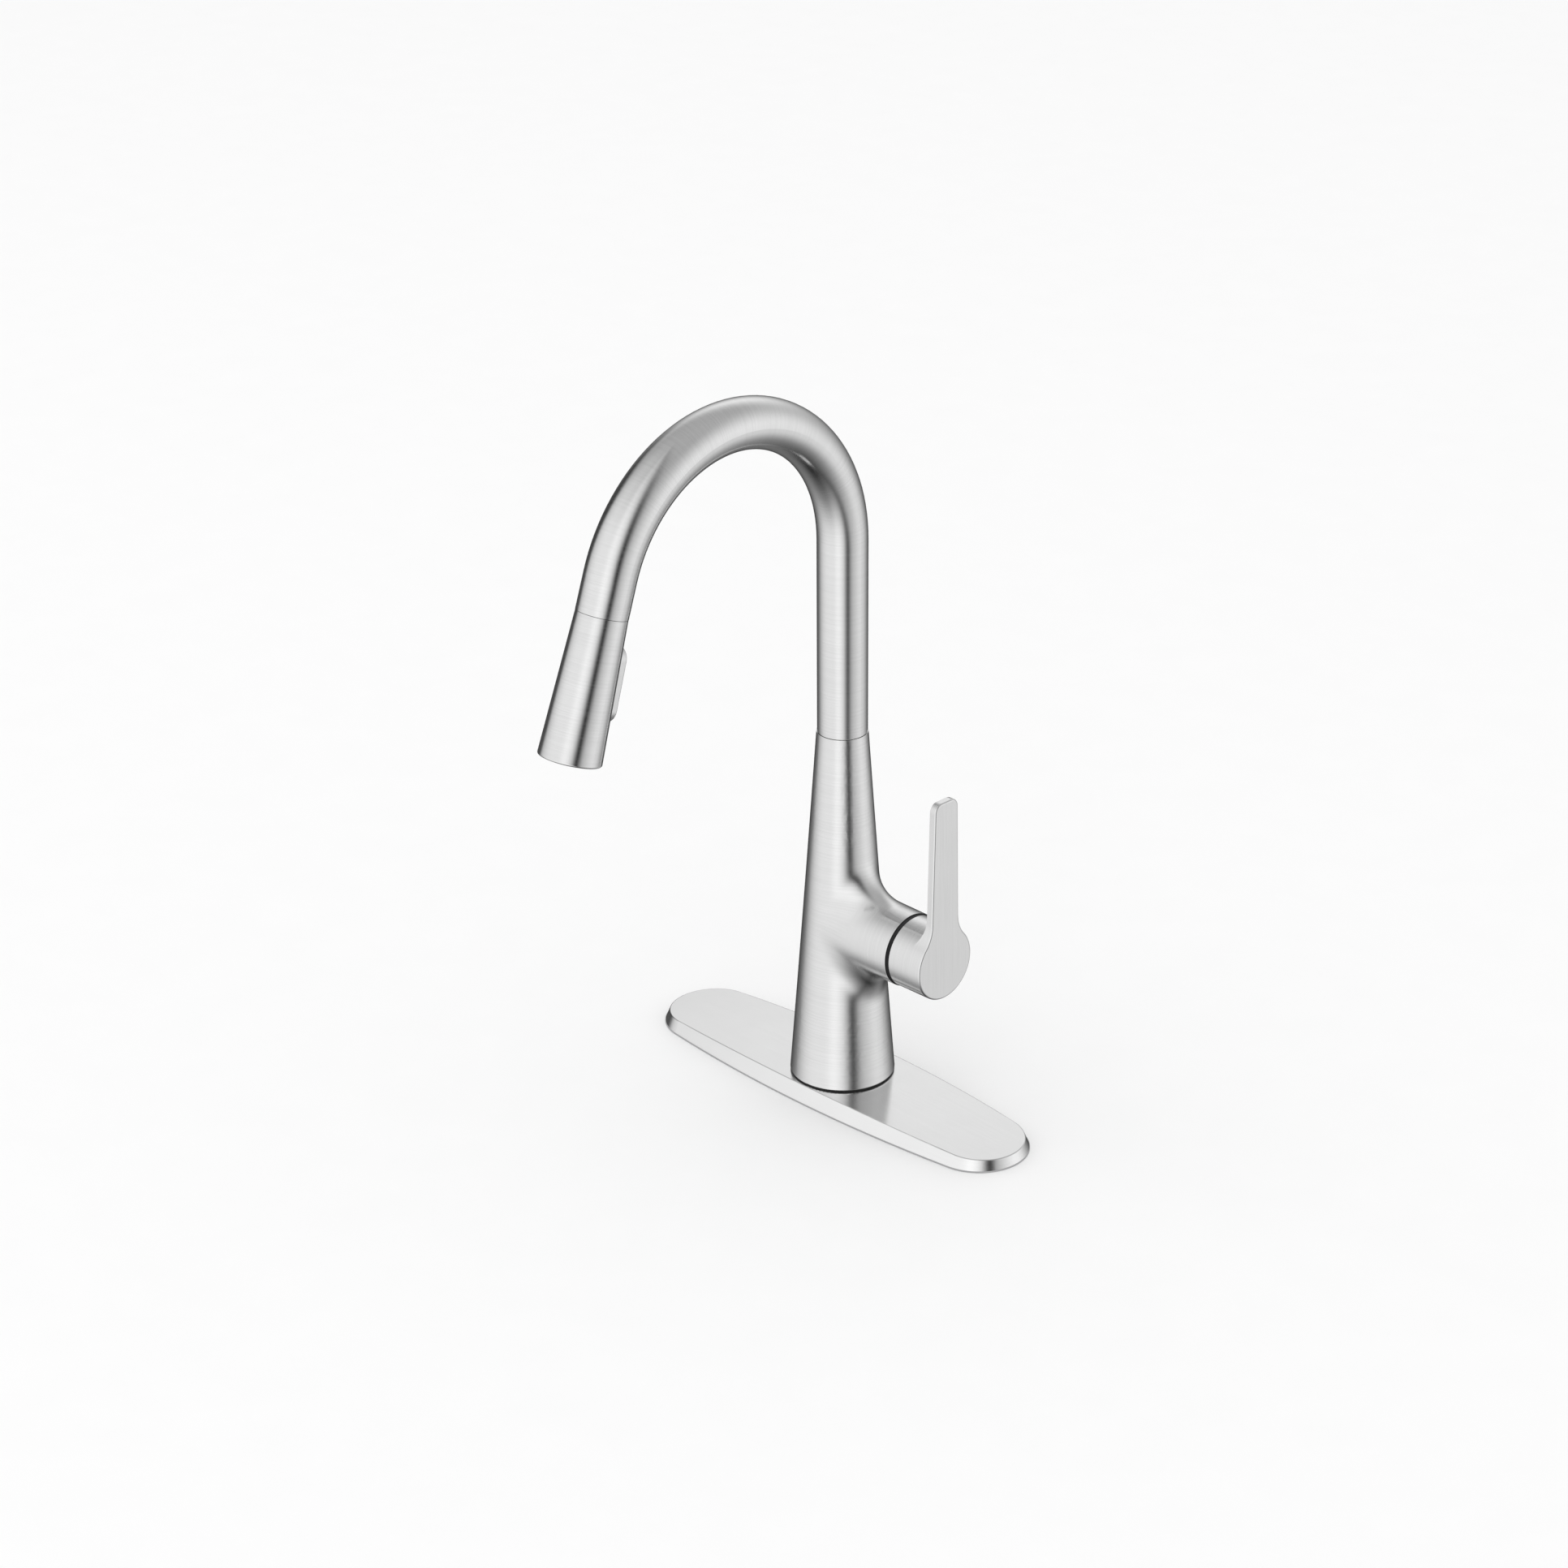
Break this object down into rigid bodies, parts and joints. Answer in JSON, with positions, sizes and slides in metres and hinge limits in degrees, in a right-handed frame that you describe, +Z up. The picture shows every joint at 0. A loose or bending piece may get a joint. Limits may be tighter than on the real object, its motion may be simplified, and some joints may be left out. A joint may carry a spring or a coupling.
{
  "type": "pull-down kitchen faucet",
  "caption": "Single-lever kitchen faucet with a gooseneck spout, pull-down spray head with a rocker, side valve and long deck plate, clamped through the deck by a shank and nut.",
  "frame": {"origin": "on the deck surface, on the axis of the shank and of the spout's swivel", "axes": "+Z up, handle branch towards +X, spout towards the front, -Y"},
  "size_m": [0.2586, 0.2421, 0.4845],
  "materials": {
    "brushed_steel": "fine brushed",
    "plain_steel": "plain turned",
    "brass": "machined",
    "black_rubber": "matte",
    "grey_rubber": "matte",
    "black_plastic": "satin",
    "grey_plastic": "satin",
    "white_plastic": "moulded",
    "ceramic": "lapped"
  },
  "bodies": {
    "base": {"deck_gasket": "grey_rubber", "deck_plate": "brushed_steel", "base_seal": "black_rubber", "faucet_body": "brushed_steel", "mounting_shank": "brass", "hose_guide": "black_plastic", "valve_body": "brass", "hose_nipples": "brass", "cartridge_base": "white_plastic", "cartridge_seals": "black_rubber", "fixed_disc": "ceramic", "cartridge_housing": "white_plastic", "cartridge_nut": "brass", "bonnet": "black_plastic"},
    "mounting_nut": {"mounting_nut": "brass", "steel_washer": "plain_steel", "rubber_washer": "black_rubber", "clamp_screws": "plain_steel"},
    "stem_carrier": {"stem_carrier": "white_plastic", "pivot_pin": "plain_steel"},
    "handle": {"handle": "brushed_steel", "stem": "brass", "set_screw": "plain_steel", "screw_plug": "grey_plastic"},
    "moving_disc": {"moving_disc": "ceramic"},
    "spout": {"gooseneck": "brushed_steel", "spout_spigot": "brass", "glide_rings": "white_plastic", "spout_clip": "plain_steel", "thrust_washer": "white_plastic", "dock_sleeve": "black_plastic"},
    "spray": {"spray_shell": "brushed_steel", "spray_collar": "black_plastic", "hose_coupling": "brass", "check_valve": "white_plastic", "spray_core": "black_plastic", "rocker_pin": "plain_steel", "spray_face": "black_plastic", "nozzle_mat": "grey_rubber", "aerator": "black_plastic"},
    "rocker": {"spray_rocker": "grey_plastic"},
    "diverter_spool": {"diverter_spool": "white_plastic"}
  },
  "joints": [
    {"name": "nut_travel", "type": "slide", "parent": "base", "child": "mounting_nut", "axis": [0, 0, 1], "range_m": [-0.09, 0.042]},
    {"name": "handle_turn", "type": "hinge", "parent": "base", "child": "stem_carrier", "pos_m": [0, 0, 0.1006], "axis": [1, 0, 0], "range_deg": [-45, 45]},
    {"name": "handle_tilt", "type": "hinge", "parent": "stem_carrier", "child": "handle", "pos_m": [0.022, 0, 0.1006], "axis": [0, 1, 0], "range_deg": [0, 20]},
    {"name": "disc_slide", "type": "slide", "parent": "stem_carrier", "child": "moving_disc", "axis": [0, 0, 1], "range_m": [0, 0.0026]},
    {"name": "spout_swivel", "type": "hinge", "parent": "base", "child": "spout", "pos_m": [0, 0, 0.2129], "axis": [0, 0, 1], "range_deg": [-180, 180]},
    {"name": "spray_pull", "type": "slide", "parent": "spout", "child": "spray", "axis": [0, -0.3223, -0.9466], "range_m": [0, 0.22], "stiffness_N_per_m": 20, "springref_m": -0.25},
    {"name": "rocker_tilt", "type": "hinge", "parent": "spray", "child": "rocker", "pos_m": [0, -0.17145, 0.29415], "axis": [1, 0, 0], "range_deg": [-6, 6]},
    {"name": "spool_slide", "type": "slide", "parent": "spray", "child": "diverter_spool", "axis": [0, -0.3223, -0.9466], "range_m": [-0.0006, 0.0006]}
  ],
  "couplings": [
    {"joint": "disc_slide", "follows": "handle_tilt", "m_per_rad": 0.0068},
    {"joint": "spool_slide", "follows": "rocker_tilt", "m_per_rad": 0.0056}
  ]
}
